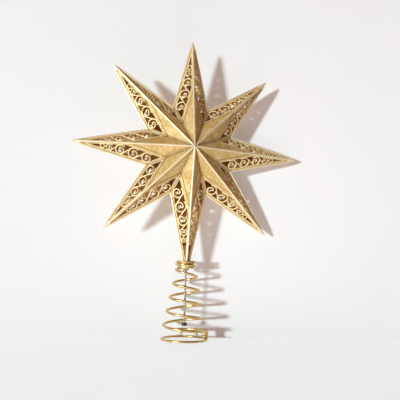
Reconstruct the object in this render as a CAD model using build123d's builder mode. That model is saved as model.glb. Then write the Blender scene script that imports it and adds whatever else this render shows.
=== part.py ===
"""A gold tree-topper star: eight pierced, folded points on a conical wire spring.

The star lies in the XZ plane with its front towards -Y. The spring stands on a flat wire
ring, and the origin is at the middle of that ring's foot. All sizes are in millimetres.
"""

from build123d import *
import math
import os

os.makedirs("parts", exist_ok=True)

# Star outline
point_count = 8
tip_radius = 115.0
valley_radius = 46.0
apex_height = 21.5
tip_length = 8.0

# Lower point, which is longer and cut off where it meets the collar
lower_cut_radius = 110.0
lower_end_width = 5.6

# Pierced sheet covers
cover_sheet = 0.5
root_share = 0.06
rim_border = 2.1
ridge_border = 1.8
valley_border = 1.8
panel_border = 3.0

# Scrolls in each window
strand = 1.25
thin_strand = 0.75
strand_share = 0.27
scroll_lap = 0.25
scroll_spacing_share = 1.25
least_scroll = 2.0
least_curl = 2.6
curl_shares = (0.42, 0.1)
curl_lead = 40.0
curl_ball_share = 0.8
eye_share = 0.35
tail_ring_share = 0.15
tail_lap = 0.8

# Plain pressed panels, laid over the middle of the covers
panel_sheet = 0.5
panel_ridge_length = 62.0
panel_valley_share = 0.565

# Bead wires along the folds
ridge_wire_radius = 0.95
rim_wire_radius = 0.9
seam_wire_radius = 0.7
wire_stand_out = 0.35
seam_clearance = 0.15
seam_end_gap = 3.0
seam_panel_gap = 2.4
tip_end_width = 1.3

# Stem and collar
stem_radius = 0.85
stem_foot_height = 14.5
stem_in_plug = 13.0
plug_length = 15.0
plug_clearance = 0.1
bore_clearance = 0.03
flange_radius = 9.5
flange_thickness = 2.1
flange_rounding = 0.9
neck_radius = 7.6
neck_length = 5.2
nut_sides = 6
nut_width = 5.0
nut_thickness = 2.0
cap_radius = 2.7
cap_height = 3.2
cap_rounding = 0.8
cap_floor = 1.2

# Conical spring, wound left-handed, seen from above it turns anticlockwise on the way down
wire_radius = 1.25
close_gap = 0.55
close_turns = 0.5
ramp_turns = 0.5
open_turns = 4.1
foot_turns = 0.65
neck_gap = 0.1
flange_gap = 0.15
coil_foot_radius = 21.2
coil_foot_height = 8.0
coil_start_angle = 180.0
coil_drop = 63.8
lead_length = 2.0 * wire_radius
arcs_per_turn = 4
gap_samples_per_turn = 24

# Foot ring and what holds the spring to it
ring_radius = 21.2
foot_flat = 0.5
clip_back_turns = 0.25
clip_width = 5.2
clip_depth = 6.0
clip_lift = 0.4
clip_top_wall = 0.7
clip_coil_clearance = 0.5
clip_ring_clearance = 0.1
clip_rounding = 0.7
tie_radii = (1.0, 0.65)
tie_sides = (13.2, 0.6)
tie_gap = 0.2

cut_overrun = 3.0
bisection_steps = 60

# Heights worked out from the spring upwards
ring_height = wire_radius - foot_flat
coil_top_height = coil_foot_height + coil_drop
flange_foot = coil_top_height + wire_radius + flange_gap
flange_top = flange_foot + flange_thickness
star_height = flange_top + lower_cut_radius
tip_cut_radius = tip_radius - tip_length
neck_foot = flange_foot - neck_length
coil_top_radius = neck_radius + neck_gap + wire_radius

# The lower point's sides run on to a tip beyond its cut end
sector = 360.0 / point_count
half_sector = math.radians(sector / 2)
valley_side = valley_radius * math.sin(half_sector)
valley_reach = valley_radius * math.cos(half_sector)
lower_end_side = lower_end_width / 2
lower_tip_radius = (
    (valley_side * lower_cut_radius - lower_end_side * valley_reach)
    / (valley_side - lower_end_side)
)

# Planes of one upright point: its middle, its two sides and the star's middle plane
ridge_cut = Plane.YZ
left_side_cut = Plane((0, 0, 0), z_dir=(math.cos(half_sector), 0, math.sin(half_sector)))
right_side_cut = Plane((0, 0, 0), z_dir=(-math.cos(half_sector), 0, math.sin(half_sector)))
front_half = Plane.XZ

point_names = (
    "top", "upper_right", "right", "lower_right",
    "lower", "lower_left", "left", "upper_left",
)
lower_point = point_names.index("lower")


class Point:
    """One upright star point about the star's centre, and the flat of its front left facet."""

    def __init__(self, reach, cut):
        self.cut = cut
        self.apex = Vector(0, -apex_height, 0)
        self.tip = Vector(0, 0, reach)
        self.valley = Vector(-valley_side, 0, valley_reach)
        self.ridge = (self.tip - self.apex).normalized()
        outward = (self.valley - self.apex).cross(self.ridge).normalized()
        self.outward = outward if outward.Y < 0 else outward * -1
        self.flat = Plane(self.apex, x_dir=self.ridge, z_dir=self.outward)
        self.flat_tip = self.flat.to_local_coords(self.tip)
        self.flat_valley = self.flat.to_local_coords(self.valley)
        self.across = self.flat.y_dir

    def half_width(self, radius):
        """Half the outline's width at a distance from the star's centre."""
        reach = self.tip.Z
        return -self.valley.X * (reach - radius) / (reach - self.valley.Z)

    def half_height(self, radius):
        """Height of the ridge above the star's middle plane at a distance from the centre."""
        return apex_height * (1 - radius / self.tip.Z)


class Border:
    """A straight border in a facet's flat: a start, a direction and a way in."""

    def __init__(self, start, end, inside, border):
        self.along = (end - start).normalized()
        across = Vector(-self.along.Y, self.along.X)
        self.across = across if across.dot(inside - start) > 0 else across * -1
        self.start = start + self.across * border

    def depth(self, place):
        return self.across.dot(place - self.start)

    def crossing(self, other):
        reach = -other.depth(self.start) / other.across.dot(self.along)
        return self.start + self.along * reach


def place_in_star(piece, index):
    """A piece of the upright point, turned to its place and raised with the star."""
    return piece.moved(Location((0, 0, star_height), (0, sector * index, 0)))


def zero_of(rising, low, high):
    """The place between low and high where a rising function passes zero."""
    for _ in range(bisection_steps):
        middle = (low + high) / 2
        low, high = (middle, high) if rising(middle) < 0 else (low, middle)
    return (low + high) / 2


def window_of(point):
    """The four borders of a facet's window: rim, valley, panel and ridge."""
    root = Vector(0, 0)
    tip = Vector(point.flat_tip.X, 0)
    valley = Vector(point.flat_valley.X, point.flat_valley.Y)
    panel_end = Vector(panel_ridge_length, 0)
    panel_side = valley * panel_valley_share
    rim = Border(valley, tip, root, rim_border)
    side = Border(root, valley, tip, valley_border)
    panel = Border(panel_side, panel_end, valley, panel_border)
    ridge = Border(root, tip, valley, ridge_border)
    return rim, side, panel, ridge


def scrolls_of(point):
    """Centres and radii of the scrolls, from the wide end of the window to its tip."""
    rim, side, panel, ridge = window_of(point)

    def scroll_at(reach):
        foot = rim.start + rim.along * reach
        radius = min(
            inner.depth(foot) / (1 - inner.across.dot(rim.across)) for inner in (panel, ridge)
        )
        return foot + rim.across * radius, radius

    def clear_of_side(reach):
        centre, radius = scroll_at(reach)
        return side.depth(centre) - radius

    end = (rim.crossing(ridge) - rim.start).length
    reach = zero_of(clear_of_side, 0, end)
    scrolls = [scroll_at(reach)]
    while scrolls[-1][1] > least_scroll:
        before, before_radius = scrolls[-1]

        def clear_of_last(place):
            centre, radius = scroll_at(place)
            return (centre - before).length - scroll_spacing_share * (radius + before_radius)

        reach = zero_of(clear_of_last, reach, end)
        scrolls.append(scroll_at(reach))
    return scrolls[:-1]


def strand_of(radius):
    return max(thin_strand, min(strand, strand_share * radius))


def tail_of(first, second, rim):
    """The strand that leaves one scroll, passes between the two and runs out to the rim."""
    (start, start_radius), (end, end_radius) = first, second
    between = end - start
    touch = start_radius - strand_of(start_radius) * (1 / 2 - tail_ring_share)
    touch_end = end_radius - strand_of(end_radius) * (1 / 2 - tail_ring_share)
    lean = math.acos((touch + touch_end) / between.length)
    away = between.normalized().rotate(Axis.Z, -math.degrees(lean))
    leaves = start + away * touch
    passes = end - away * touch_end
    along = (passes - leaves).normalized()
    reach = (-tail_lap - rim.depth(leaves)) / rim.across.dot(along)
    return leaves, leaves + along * reach


def volute(centre, radius, rim):
    """One open scroll: it leaves the inner border, rounds to the rim and tightens to a ball."""
    width = strand_of(radius)
    outer = radius + scroll_lap - width / 2
    middle, inner = (radius * share for share in curl_shares)
    heading = -rim.across
    angle = math.degrees(math.atan2(heading.Y, heading.X))
    with BuildLine() as hook:
        CenterArc(centre, outer, angle + 180 - curl_lead, 180 + curl_lead)
        CenterArc(centre + heading * ((outer - middle) / 2), (outer + middle) / 2, angle, 180)
        CenterArc(centre - heading * ((middle - inner) / 2), (middle + inner) / 2, angle + 180, 180)
    trace(hook.line, line_width=width)
    with Locations(centre + heading * inner):
        Circle(width * curl_ball_share)


def folded_cover(point, scrolled):
    """A sheet folded along its ridge, pierced on both sides of it with scrolls or only their eyes."""
    rim, side, panel, ridge = window_of(point)
    scrolls = scrolls_of(point)
    tip = point.flat_tip
    valley = point.flat_valley
    past_valley = valley + (valley - tip).normalized() * cut_overrun
    past_root = valley * root_share - side.across * cut_overrun
    with BuildPart() as cover:
        with BuildSketch(point.flat):
            with BuildLine():
                Polyline((tip.X * root_share, 0), tip, past_valley, past_root, close=True)
            make_face()
            if scrolled:
                with BuildLine():
                    Polyline(
                        rim.crossing(side), side.crossing(panel),
                        panel.crossing(ridge), ridge.crossing(rim), close=True,
                    )
                make_face(mode=Mode.SUBTRACT)
                for centre, radius in scrolls:
                    if radius > least_curl:
                        volute(centre, radius, rim)
                        continue
                    with Locations(centre):
                        Circle(radius + scroll_lap)
                        Circle(radius - strand_of(radius), mode=Mode.SUBTRACT)
                for first, second in zip(scrolls, scrolls[1:]):
                    with BuildLine():
                        Line(*tail_of(first, second, rim))
                    trace(line_width=strand_of(second[1]))
            else:
                for centre, radius in scrolls:
                    with Locations(centre):
                        Circle(radius * eye_share, mode=Mode.SUBTRACT)
        extrude(amount=-cover_sheet)
        split(bisect_by=ridge_cut, keep=Keep.BOTTOM)
        split(bisect_by=left_side_cut, keep=Keep.TOP)
        split(bisect_by=front_half, keep=Keep.TOP)
        split(bisect_by=Plane.XY.offset(point.cut), keep=Keep.BOTTOM)
        mirror(about=Plane.YZ)
    return cover.part


def folded_panel(point):
    """The plain panel over the middle of one cover, both sides of the ridge."""
    end = Vector(panel_ridge_length, 0)
    side = Vector(point.flat_valley.X, point.flat_valley.Y) * panel_valley_share
    past_end = end + (end - side).normalized() * cut_overrun
    with BuildPart() as panel:
        with BuildSketch(point.flat):
            with BuildLine():
                Polyline((0, 0), side, past_end, (0, past_end.Y), close=True)
            make_face()
        extrude(amount=panel_sheet)
        split(bisect_by=ridge_cut, keep=Keep.BOTTOM)
        split(bisect_by=left_side_cut, keep=Keep.TOP)
        mirror(about=Plane.YZ)
    return panel.part


def ridge_wire(point):
    """The bead along a ridge: round, and notched where it sits on the panel and the cover."""
    across = abs(point.across.X)
    down = math.sqrt(1 - across**2)
    length = (point.tip - point.apex).length
    panel_rise = panel_sheet / across
    panel_side = point.flat_valley * panel_valley_share
    panel_past = panel_sheet * down / across * (panel_ridge_length - panel_side.X) / panel_side.Y
    panel_end = panel_ridge_length + panel_past
    runs = (
        (-cut_overrun, panel_end, panel_rise),
        (panel_end, length, 0),
    )
    notch = ridge_wire_radius + wire_stand_out + cut_overrun
    with BuildPart() as wire:
        for start, end, rise in runs:
            seat = Plane(point.apex + point.ridge * start, x_dir=(1, 0, 0), z_dir=point.ridge)
            with BuildSketch(seat):
                with Locations((0, -wire_stand_out)):
                    Circle(ridge_wire_radius)
                with BuildLine():
                    Polyline(
                        (0, -rise), (notch * across, notch * down - rise),
                        (-notch * across, notch * down - rise), close=True,
                    )
                make_face(mode=Mode.SUBTRACT)
            extrude(amount=end - start)
        split(bisect_by=left_side_cut, keep=Keep.TOP)
        split(bisect_by=right_side_cut, keep=Keep.TOP)
        split(bisect_by=Plane.XY.offset(point.cut), keep=Keep.BOTTOM)
    return wire.part


def rim_wires(point):
    """The two beads along a point's outline, notched over the joint of front and back covers."""
    rim = (point.tip - point.valley).normalized()
    seat = Plane(point.valley - rim * cut_overrun, x_dir=(0, 1, 0), z_dir=rim)
    inward = point.apex - point.valley
    inward = (inward - rim * inward.dot(rim)).normalized()
    notch = rim_wire_radius + wire_stand_out + cut_overrun
    notch_side = notch * abs(inward.Y)
    notch_depth = notch * inward.dot(seat.y_dir)
    with BuildPart() as wires:
        with BuildSketch(seat):
            with Locations((0, wire_stand_out)):
                Circle(rim_wire_radius)
            with BuildLine():
                Polyline((0, 0), (notch_side, notch_depth), (-notch_side, notch_depth), close=True)
            make_face(mode=Mode.SUBTRACT)
        extrude(amount=(point.tip - point.valley).length + cut_overrun)
        split(bisect_by=ridge_cut, keep=Keep.BOTTOM)
        split(bisect_by=left_side_cut, keep=Keep.TOP)
        split(bisect_by=Plane.XY.offset(point.cut), keep=Keep.BOTTOM)
        mirror(about=Plane.YZ)
    return wires.part


def tip_cap(point):
    """The solid end of a point, where its sheets and bead wires come together."""
    side = point.half_width(point.cut) + wire_stand_out + rim_wire_radius * math.sqrt(2)
    rise = point.half_height(point.cut) + wire_stand_out + ridge_wire_radius * math.sqrt(2)
    end_share = tip_end_width / (2 * side)
    with BuildPart() as cap:
        for height, share in ((point.cut, 1), (point.tip.Z, end_share)):
            with BuildSketch(Plane.XY.offset(height)) as section:
                with BuildLine():
                    Polyline(
                        (side * share, 0), (0, rise * share),
                        (-side * share, 0), (0, -rise * share), close=True,
                    )
                make_face()
                fillet(section.vertices(), ridge_wire_radius * share)
        loft(ruled=True)
    return cap.part


def seam_wire(point):
    """The bead in the groove between two covers, from the panel's edge to the rim."""
    groove = point.valley - point.apex
    along = groove.normalized()
    up = along.cross(left_side_cut.z_dir).normalized()
    up = up if up.Y < 0 else up * -1
    slope = point.ridge - along * point.ridge.dot(along)
    lean = slope.get_angle(up)
    lift = (seam_wire_radius + seam_clearance) / math.sin(math.radians(lean))
    start = groove.length * panel_valley_share + seam_panel_gap
    with BuildPart() as wire:
        with BuildSketch(Plane(point.apex + along * start + up * lift, z_dir=along)):
            Circle(seam_wire_radius)
        extrude(amount=groove.length - seam_end_gap - start)
    return wire.part


def mirrored_to_back(piece):
    with BuildPart() as back:
        add(piece)
        mirror(about=Plane.XZ, mode=Mode.REPLACE)
    return back.part


def write(piece, name):
    piece.label = name
    export_step(piece, f"parts/{name}.step")


# Star points
usual = Point(tip_radius, tip_cut_radius)
lower = Point(lower_tip_radius, lower_cut_radius)
shapes = [lower if index == lower_point else usual for index in range(point_count)]
front_covers = {shape: folded_cover(shape, True) for shape in (usual, lower)}
back_covers = {shape: mirrored_to_back(folded_cover(shape, False)) for shape in (usual, lower)}
panels = {shape: folded_panel(shape) for shape in (usual, lower)}
ridges = {shape: ridge_wire(shape) for shape in (usual, lower)}
rims = {shape: rim_wires(shape) for shape in (usual, lower)}
cap_shape = tip_cap(usual)
seam_shape = seam_wire(usual)

for index, name in enumerate(point_names):
    shape = shapes[index]
    write(place_in_star(front_covers[shape], index), f"front_cover_{name}")
    write(place_in_star(back_covers[shape], index), f"back_cover_{name}")
    write(place_in_star(ridges[shape], index), f"front_ridge_wire_{name}")
    write(place_in_star(mirrored_to_back(ridges[shape]), index), f"back_ridge_wire_{name}")
    write(place_in_star(rims[shape], index), f"rim_wires_{name}")

with BuildPart() as front_panel:
    for index, shape in enumerate(shapes):
        add(place_in_star(panels[shape], index))
write(front_panel.part, "front_panel")
write(mirrored_to_back(front_panel.part), "back_panel")

with BuildPart() as front_seam_wires:
    for index in range(point_count):
        add(place_in_star(seam_shape, index))
write(front_seam_wires.part, "front_seam_wires")
write(mirrored_to_back(front_seam_wires.part), "back_seam_wires")

with BuildPart() as tip_caps:
    for index in range(point_count):
        if index != lower_point:
            add(place_in_star(cap_shape, index))
write(tip_caps.part, "tip_caps")

# Plug inside the lower point, shaped to the hollow between its four sheets
plug_foot_radius = lower_cut_radius
plug_top_radius = lower_cut_radius - plug_length
sheet_room = cover_sheet + plug_clearance
with BuildPart() as socket_plug:
    for radius in (plug_foot_radius, plug_top_radius):
        side = lower.half_width(radius) - sheet_room / abs(lower.outward.X)
        rise = lower.half_height(radius) - sheet_room / abs(lower.outward.Y)
        with BuildSketch(Plane.XY.offset(star_height - radius)):
            with BuildLine():
                Polyline((side, 0), (0, rise), (-side, 0), (0, -rise), close=True)
            make_face()
    loft(ruled=True)
    with Locations((0, 0, flange_top)):
        Cylinder(
            stem_radius + bore_clearance, stem_in_plug + bore_clearance,
            align=(Align.CENTER, Align.CENTER, Align.MIN), mode=Mode.SUBTRACT,
        )
write(socket_plug.part, "socket_plug")

# Collar that carries the star, with a neck for the spring's close turns
with BuildPart() as collar:
    with Locations((0, 0, flange_foot)):
        Cylinder(flange_radius, flange_thickness, align=(Align.CENTER, Align.CENTER, Align.MIN))
    fillet(collar.edges().filter_by(GeomType.CIRCLE), flange_rounding)
    with Locations((0, 0, neck_foot)):
        Cylinder(neck_radius, neck_length, align=(Align.CENTER, Align.CENTER, Align.MIN))
    with BuildSketch(Plane.XY.offset(neck_foot)):
        Circle(stem_radius + bore_clearance)
    extrude(amount=flange_top - neck_foot, mode=Mode.SUBTRACT)
write(collar.part, "collar")

# Stem through the collar into the plug, with the nut that clamps the collar
stem_length = flange_top + stem_in_plug - stem_foot_height
with BuildPart() as stem:
    with BuildSketch(Plane.XY.offset(stem_foot_height)):
        Circle(stem_radius)
    extrude(amount=stem_length)
write(stem.part, "stem")

with BuildPart() as stem_nut:
    with BuildSketch(Plane.XY.offset(neck_foot - nut_thickness)):
        RegularPolygon(nut_width / 2, nut_sides, major_radius=False)
        Circle(stem_radius + bore_clearance, mode=Mode.SUBTRACT)
    extrude(amount=nut_thickness)
write(stem_nut.part, "stem_nut")

cap_foot = stem_foot_height - cap_floor
with BuildPart() as stem_cap:
    with BuildSketch(Plane.XY.offset(cap_foot)):
        Circle(cap_radius)
    extrude(amount=cap_height)
    fillet(stem_cap.edges().filter_by(GeomType.CIRCLE), cap_rounding)
    with BuildSketch(Plane.XY.offset(stem_foot_height)):
        Circle(stem_radius + bore_clearance)
    extrude(amount=cap_height, mode=Mode.SUBTRACT)
write(stem_cap.part, "stem_cap")

# Conical spring: close turns on the neck, a short ramp, the open cone and a level foot end
coil_turns = close_turns + ramp_turns + open_turns + foot_turns
close_pitch = 2 * wire_radius + close_gap
half_ramp = ramp_turns / 2
steady_turns = half_ramp + open_turns + foot_turns / 2
open_pitch = (coil_drop - close_pitch * (close_turns + half_ramp)) / steady_turns
spread = (coil_foot_radius - coil_top_radius) / steady_turns


def ramped(turn, close, opened):
    """How far a rate has run that ramps from close to opened and ends level, and the rate there."""
    into = turn - close_turns
    if into <= 0:
        return close * turn, close
    if into < ramp_turns:
        gain = (opened - close) * into / ramp_turns
        return close * turn + gain * into / 2, close + gain
    run = close * turn + (opened - close) * (into - half_ramp)
    ending = into - ramp_turns - open_turns
    if ending <= 0:
        return run, opened
    loss = opened * ending / foot_turns
    return run - loss * ending / 2, opened - loss


def coil_at(turn):
    """Place on the spring's centreline and its direction there."""
    drop, pitch = ramped(turn, close_pitch, open_pitch)
    growth, growing = ramped(turn, 0, spread)
    radius = coil_top_radius + growth
    angle = math.radians(coil_start_angle) + 2 * math.pi * turn
    out = Vector(math.cos(angle), math.sin(angle), 0)
    round_way = Vector(-math.sin(angle), math.cos(angle), 0)
    place = out * radius + Vector(0, 0, coil_top_height - drop)
    heading = out * growing + round_way * (2 * math.pi * radius) - Vector(0, 0, pitch)
    return place, heading.normalized()


def biarc(start, start_way, end, end_way):
    """Two arcs, tangent to each other and to the given directions at both ends."""
    gap = end - start
    both = start_way + end_way
    square = 2 * (start_way.dot(end_way) - 1)
    linear = gap.dot(both)
    reach = (linear - math.sqrt(linear**2 - square * gap.dot(gap))) / square
    near = start + start_way * reach
    far = end - end_way * reach
    middle = (near + far) / 2
    TangentArc(start, middle, tangent=start_way)
    TangentArc(middle, end, tangent=far - near)


stations = [coil_at(index / arcs_per_turn) for index in range(round(coil_turns * arcs_per_turn) + 1)]
with BuildPart() as spring:
    with BuildLine() as coil_path:
        first, first_way = stations[0]
        last, last_way = stations[-1]
        Line(first - first_way * lead_length, first)
        for (start, start_way), (end, end_way) in zip(stations, stations[1:]):
            biarc(start, start_way, end, end_way)
        Line(last, last + last_way * lead_length)
    with BuildSketch(Plane(first - first_way * lead_length, z_dir=first_way)):
        Circle(wire_radius)
    sweep()
write(spring.part, "spring")

sample_count = round(coil_turns * gap_samples_per_turn)
samples = [coil_at(coil_turns * index / sample_count)[0] for index in range(sample_count + 1)]
least_gap = min(
    (samples[one] - samples[other]).length
    for one in range(len(samples))
    for other in range(one + gap_samples_per_turn // 2, len(samples))
) - 2 * wire_radius
wire_length = coil_path.wire().length
print("spring least gap to itself", round(least_gap, 2), "mm")
print("spring open pitch", round(open_pitch, 2), "mm, wire length", round(wire_length, 1), "mm")
print("spring volume over section times length",
      round(spring.part.volume / (math.pi * wire_radius**2 * wire_length), 4))

# Foot ring, cut flat where it stands
with BuildPart() as base_ring:
    with Locations((0, 0, ring_height)):
        Torus(ring_radius, wire_radius)
    split(bisect_by=Plane.XY, keep=Keep.TOP)
write(base_ring.part, "base_ring")

# Clip that sits astride the ring and takes the spring's lower end
clip_place, clip_way = coil_at(coil_turns - clip_back_turns)
clip_top = clip_place.Z + wire_radius + clip_coil_clearance + clip_top_wall
with BuildPart() as end_clip:
    with BuildSketch(Plane.XY.offset(clip_lift)):
        with Locations((ring_radius, 0)):
            RectangleRounded(clip_width, clip_depth, clip_rounding)
    extrude(amount=clip_top - clip_lift)
    with Locations((0, 0, ring_height)):
        Torus(ring_radius, wire_radius + clip_ring_clearance, mode=Mode.SUBTRACT)
    with BuildSketch(Plane.XY.offset(clip_lift)):
        Circle(ring_radius + wire_radius + clip_ring_clearance)
        Circle(ring_radius - wire_radius - clip_ring_clearance, mode=Mode.SUBTRACT)
    extrude(amount=ring_height - clip_lift, mode=Mode.SUBTRACT)
    with BuildSketch(Plane(clip_place - clip_way * clip_depth, z_dir=clip_way)):
        Circle(wire_radius + clip_coil_clearance)
    extrude(amount=2 * clip_depth, mode=Mode.SUBTRACT)
write(end_clip.part, "end_clip")

# Ties between the ring and the spring's level end, at the back
with BuildPart() as base_ties:
    for tie_radius, tie_side in zip(tie_radii, tie_sides):
        angle = math.acos(tie_side / ring_radius)
        turn = coil_turns - clip_back_turns + angle / (2 * math.pi)
        coil_place = coil_at(turn)[0]
        tie_place = Vector(ring_radius * math.cos(angle), ring_radius * math.sin(angle))
        tie_place = (tie_place + Vector(coil_place.X, coil_place.Y)) / 2
        foot = ring_height + wire_radius + tie_gap
        with BuildSketch(Plane((tie_place.X, tie_place.Y, foot))):
            Circle(tie_radius)
        extrude(amount=coil_place.Z - wire_radius - tie_gap - foot)
write(base_ties.part, "base_ties")
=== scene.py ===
# %% [markdown]
# # A gold star for the top of a tree
# Eight pierced points are folded along their ridges and stand on a conical wire spring. The
# solid model comes first: it fixes the size and the place of every piece. What is made here
# dresses it with finishes, rounded scrollwork, fine edgings and a smooth spring wire.

# %% Load the solid model
import math
import bmesh
import bpy
from mathutils import Matrix, Vector


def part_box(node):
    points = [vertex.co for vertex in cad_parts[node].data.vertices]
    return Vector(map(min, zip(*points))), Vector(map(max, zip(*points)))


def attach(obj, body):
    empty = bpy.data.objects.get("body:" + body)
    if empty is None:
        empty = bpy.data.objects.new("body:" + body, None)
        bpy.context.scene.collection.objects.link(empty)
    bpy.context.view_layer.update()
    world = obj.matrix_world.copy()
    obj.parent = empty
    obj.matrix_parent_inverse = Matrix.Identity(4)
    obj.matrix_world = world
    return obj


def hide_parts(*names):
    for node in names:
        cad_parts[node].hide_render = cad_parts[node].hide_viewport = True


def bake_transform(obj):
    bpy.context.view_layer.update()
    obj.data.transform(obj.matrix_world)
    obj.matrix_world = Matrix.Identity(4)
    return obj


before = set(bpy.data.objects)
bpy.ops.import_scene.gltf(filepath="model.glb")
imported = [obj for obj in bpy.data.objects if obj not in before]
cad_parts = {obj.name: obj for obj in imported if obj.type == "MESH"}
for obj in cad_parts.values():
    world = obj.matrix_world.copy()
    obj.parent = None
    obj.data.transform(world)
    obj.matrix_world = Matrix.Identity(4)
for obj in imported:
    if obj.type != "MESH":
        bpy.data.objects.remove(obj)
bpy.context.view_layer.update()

# %% [markdown]
# ## Where the star sits
# The star's own centre is where all ridges meet. A ridge wire that points straight left lies
# level, so the middle of its box is at the height of that centre. Later sizes are written in
# millimetres, as on a drawing, and turned into metres where they are used.

# %% Star centre and outline
mm = 0.001
point_count = 8
sector = 2 * math.pi / point_count
tip_radius = 115.0
valley_radius = 46.0
apex_height = 21.5
lower_cut_radius = 110.0
lower_end_width = 5.6
lower_index = 4
low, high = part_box("front_ridge_wire_left")
star_height = (low[2] + high[2]) / 2 / mm
valley_side = valley_radius * math.sin(sector / 2)
valley_reach = valley_radius * math.cos(sector / 2)
lower_tip_radius = (
    (valley_side * lower_cut_radius - lower_end_width / 2 * valley_reach)
    / (valley_side - lower_end_width / 2)
)
print("star centre", round(star_height, 2), "mm up; lower point runs to", round(lower_tip_radius, 1))

# %% [markdown]
# ## Camera
# The picture was taken a little from the left and from below. A camera is three directions and
# a place, so its matrix is built from the turn, the tilt and the slight roll that were measured.
# Writing the directions out keeps the roll, which a plain look-at constraint would lose.

# %% Camera at the photographed angle
camera_turn = math.radians(-14.73)
camera_tilt = math.radians(-7.98)
camera_roll = math.radians(1.60)
camera_from_star = Vector((-0.1173, -0.4929, -0.1206))
backward = Vector((
    math.sin(camera_turn) * math.cos(camera_tilt),
    -math.cos(camera_turn) * math.cos(camera_tilt),
    math.sin(camera_tilt),
))
level_right = Vector((math.cos(camera_turn), math.sin(camera_turn), 0))
level_up = backward.cross(level_right)
rightward = level_right * math.cos(camera_roll) + level_up * math.sin(camera_roll)
upward = level_up * math.cos(camera_roll) - level_right * math.sin(camera_roll)
camera_data = bpy.data.cameras.new("photo_camera")
camera_data.sensor_width = 36.0
camera_data.lens = 46.35
camera = bpy.data.objects.new("photo_camera", camera_data)
turn = Matrix((rightward, upward, backward)).transposed().to_4x4()
camera.matrix_world = Matrix.Translation(Vector((0, 0, star_height * mm)) + camera_from_star) @ turn
bpy.context.scene.collection.objects.link(camera)
bpy.context.scene.camera = camera
bpy.context.scene.view_settings.view_transform = "Standard"
print("camera at", [round(value, 4) for value in camera.matrix_world.translation])

# %% [markdown]
# ## Floor and backdrop
# The star throws soft shadows on a pale surface close behind it. A floor carries the foot ring
# and an upright card stands behind, turned a little so that its right side comes close to the
# right-hand tip. The card shows only its front, so that the star can be seen from behind too.

# %% Floor and card
def flat_sheet(name, corners):
    mesh = bpy.data.meshes.new(name)
    mesh.from_pydata(corners, [], [(0, 1, 2, 3)])
    sheet = bpy.data.objects.new(name, mesh)
    bpy.context.scene.collection.objects.link(sheet)
    return sheet


stage_reach = 3.0
card_turn = math.radians(-10.45)
card_lean = math.radians(2.79)
card_distance = 0.02345
card_level = Vector((math.sin(card_turn), -math.cos(card_turn), 0))
card_along = Vector((math.cos(card_turn), math.sin(card_turn), 0))
card_up = Vector((0, 0, math.cos(card_lean))) - card_level * math.sin(card_lean)
card_foot = card_level * -card_distance
floor = flat_sheet("floor", [
    (-stage_reach, -stage_reach, 0), (stage_reach, -stage_reach, 0),
    (stage_reach, stage_reach, 0), (-stage_reach, stage_reach, 0),
])
card = flat_sheet("card", [
    card_foot - card_along * stage_reach, card_foot + card_along * stage_reach,
    card_foot + card_along * stage_reach + card_up * stage_reach,
    card_foot - card_along * stage_reach + card_up * stage_reach,
])
print("card faces", [round(value, 3) for value in card.data.polygons[0].normal])

# %% [markdown]
# A pale card is mostly its own colour. A small part of its brightness, and a larger part of the
# floor's, is given to the camera and to reflections alone, which evens out the two without more
# light on the star. The rest is plain matt paper, so shadows stay. The paper is graded: the card is
# darker on the left, where the key light is nearer, so that it looks level all across.

# %% Paper for the stage
grade_reach = 0.30
grade_middle = 0.5
fibres_per_metre = 400.0
darkest_fibre = 0.985


def paper_material(name, shades, glow, one_sided):
    material = bpy.data.materials.new(name)
    material.use_nodes = True
    nodes = material.node_tree.nodes
    links = material.node_tree.links
    nodes.clear()
    output = nodes.new("ShaderNodeOutputMaterial")
    matt = nodes.new("ShaderNodeBsdfDiffuse")
    place = nodes.new("ShaderNodeTexCoord")
    axes = nodes.new("ShaderNodeSeparateXYZ")
    links.new(place.outputs["Object"], axes.inputs[0])
    across = nodes.new("ShaderNodeMapRange")
    across.inputs["From Min"].default_value = -grade_reach
    across.inputs["From Max"].default_value = grade_reach
    links.new(axes.outputs["X"], across.inputs["Value"])
    grade = nodes.new("ShaderNodeValToRGB")
    grade.color_ramp.elements.new(grade_middle)
    for stop, shade in zip(grade.color_ramp.elements, shades):
        stop.color = (*shade, 1)
    links.new(across.outputs[0], grade.inputs[0])
    grain = nodes.new("ShaderNodeTexNoise")
    grain.inputs["Scale"].default_value = fibres_per_metre
    links.new(place.outputs["Object"], grain.inputs["Vector"])
    fibres = nodes.new("ShaderNodeMapRange")
    fibres.inputs["To Min"].default_value = darkest_fibre
    links.new(grain.outputs["Fac"], fibres.inputs["Value"])
    tones = nodes.new("ShaderNodeVectorMath")
    tones.operation = "SCALE"
    links.new(grade.outputs["Color"], tones.inputs[0])
    links.new(fibres.outputs[0], tones.inputs["Scale"])
    links.new(tones.outputs[0], matt.inputs["Color"])
    shine = nodes.new("ShaderNodeEmission")
    shine.inputs["Color"].default_value = (*glow, 1)
    path = nodes.new("ShaderNodeLightPath")
    seen = nodes.new("ShaderNodeMath")
    seen.operation = "ADD"
    links.new(path.outputs["Is Camera Ray"], seen.inputs[0])
    links.new(path.outputs["Is Glossy Ray"], seen.inputs[1])
    seen_through = nodes.new("ShaderNodeMath")
    seen_through.operation = "ADD"
    links.new(seen.outputs[0], seen_through.inputs[0])
    links.new(path.outputs["Is Transmission Ray"], seen_through.inputs[1])
    links.new(seen_through.outputs[0], shine.inputs["Strength"])
    both = nodes.new("ShaderNodeAddShader")
    links.new(matt.outputs[0], both.inputs[0])
    links.new(shine.outputs[0], both.inputs[1])
    surface = both.outputs[0]
    if one_sided:
        geometry = nodes.new("ShaderNodeNewGeometry")
        clear = nodes.new("ShaderNodeBsdfTransparent")
        side = nodes.new("ShaderNodeMixShader")
        links.new(geometry.outputs["Backfacing"], side.inputs[0])
        links.new(surface, side.inputs[1])
        links.new(clear.outputs[0], side.inputs[2])
        surface = side.outputs[0]
    links.new(surface, output.inputs["Surface"])
    return material


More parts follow.
